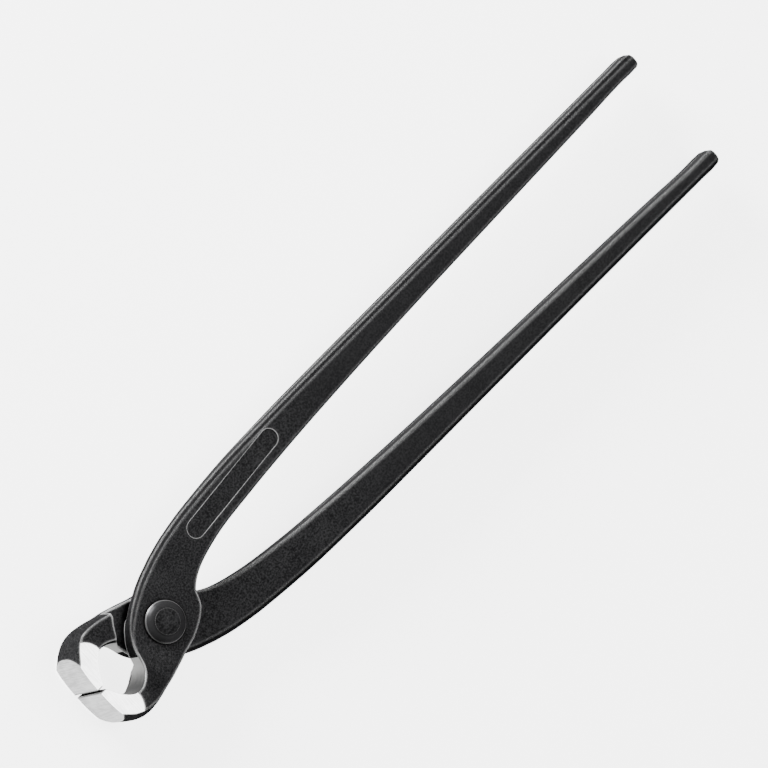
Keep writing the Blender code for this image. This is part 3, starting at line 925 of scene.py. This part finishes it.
def rivetProfile(sizes):
    top = sizes["seat"] + sizes["headHeight"]
    flat, soft = sizes["flatRadius"], sizes["flatSoft"]
    ease = soft * sizes["flatEase"]
    points = [(0.0, top), (flat - soft, top), (flat - ease, top - ease), (flat, top - soft)]
    start = (flat, top - sizes["flatRise"])
    end = (sizes["headRadius"], sizes["seat"] + sizes["rim"])
    run, fall = end[0] - start[0], start[1] - end[1]
    span = (run * run + fall * fall) ** 0.5
    for i in range(sizes["ringSteps"] + 1):
        share = i / sizes["ringSteps"]
        rise = sizes["bulge"] * sin(pi * share)
        radius = start[0] + run * share + rise * fall / span
        points.append((radius, start[1] - fall * share + rise * run / span))
    low, soft = sizes["seat"], sizes["rimSoft"]
    points += [(end[0], low + soft), (end[0] - soft, low), (sizes["shankRadius"], low)]
    return points + [(radius, -height) for radius, height in reversed(points)]


def turnedTree(material):
    tree = bpy.data.node_groups.new("turned", "GeometryNodeTree")
    kinds = {
        "Profile": "Geometry",
        "Rows": "Int",
        "Sides": "Int",
        "Height": "Float",
        "Weld": "Float",
    }
    for label, kind in kinds.items():
        tree.interface.new_socket(label, in_out="INPUT", socket_type="NodeSocket" + kind)
    tree.interface.new_socket("Turned", in_out="OUTPUT", socket_type="NodeSocketGeometry")

    def add(kind, settings, *values, **named):
        made = tree.nodes.new(kind)
        for key, value in settings.items():
            setattr(made, key, value)
        for key, value in list(enumerate(values)) + list(named.items()):
            if isinstance(value, bpy.types.NodeSocket):
                tree.links.new(value, made.inputs[key])
            else:
                made.inputs[key].default_value = value
        return made

    def maths(operation, *values):
        return add("ShaderNodeMath", {"operation": operation}, *values).outputs[0]

    given = tree.nodes.new("NodeGroupInput").outputs
    around = maths("ADD", given["Sides"], 1.0)
    grid = add("GeometryNodeMeshGrid", {}, 1.0, 1.0, given["Rows"], around)
    index = tree.nodes.new("GeometryNodeInputIndex").outputs[0]
    row = maths("FLOOR", maths("DIVIDE", maths("ADD", index, 0.5), around))
    turn = maths("MULTIPLY", maths("SUBTRACT", index, maths("MULTIPLY", row, around)), 2 * pi)
    turn = maths("DIVIDE", turn, given["Sides"])
    spot = tree.nodes.new("GeometryNodeInputPosition").outputs[0]
    sampled = {"data_type": "FLOAT_VECTOR", "domain": "POINT"}
    picked = add("GeometryNodeSampleIndex", sampled, given["Profile"], Value=spot, Index=row)
    split = add("ShaderNodeSeparateXYZ", {}, picked.outputs[0]).outputs
    across = maths("MULTIPLY", split[0], maths("COSINE", turn))
    along = maths("MULTIPLY", split[0], maths("SINE", turn))
    place = add("ShaderNodeCombineXYZ", {}, across, along, maths("ADD", split[2], given["Height"]))
    moved = add("GeometryNodeSetPosition", {}, grid.outputs[0], Position=place.outputs[0])
    welded = add("GeometryNodeMergeByDistance", {}, moved.outputs[0], Distance=given["Weld"])
    real = add("GeometryNodeRealizeInstances", {}, welded.outputs[0])
    painted = add("GeometryNodeSetMaterial", {}, real.outputs[0], Material=material)
    tree.links.new(painted.outputs[0], tree.nodes.new("NodeGroupOutput").inputs[0])
    return tree


def makeRivet(sizes):
    profile = rivetProfile(sizes)
    chain = bpy.data.meshes.new("rivetProfile")
    chain.from_pydata([(radius, 0.0, height) for radius, height in profile], [], [])
    rivet = placeObject("turnedRivet", chain)
    turned = rivet.modifiers.new("turned", "NODES")
    turned.node_group = turnedTree(finishes["rivet"])
    values = {"Rows": len(profile), "Sides": sizes["sides"], "Height": pivotHeight}
    values["Weld"] = sizes["weld"]
    for item in turned.node_group.interface.items_tree:
        if item.name in values:
            turned[item.identifier] = values[item.name]
    mesh = plainMesh(rivet)
    edit = bmesh.new()
    edit.from_mesh(mesh)
    bmesh.ops.recalc_face_normals(edit, faces=edit.faces)
    edit.to_mesh(mesh)
    edit.free()
    smoothMesh(mesh)
    rivet.data = mesh
    print("rivet made,", len(mesh.polygons), "faces")
    return rivet


turnedRivet = makeRivet(rivetSizes)
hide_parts("pivot_rivet")
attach(turnedRivet, "rear_lever")

# The floor, just under the lowest side of the jaws
floorMesh = bpy.data.meshes.new("floor")
floorLow = cadBox[0][2] - floorSizes["gap"]
reach = floorSizes["half"]
floorCorners = [(-reach, -reach), (reach, -reach), (reach, reach), (-reach, reach)]
floorMesh.from_pydata([(x, y, floorLow) for x, y in floorCorners], [], [(0, 1, 2, 3)])
floorMesh.materials.append(finishes["floor"])
floor = placeObject("floor", floorMesh)
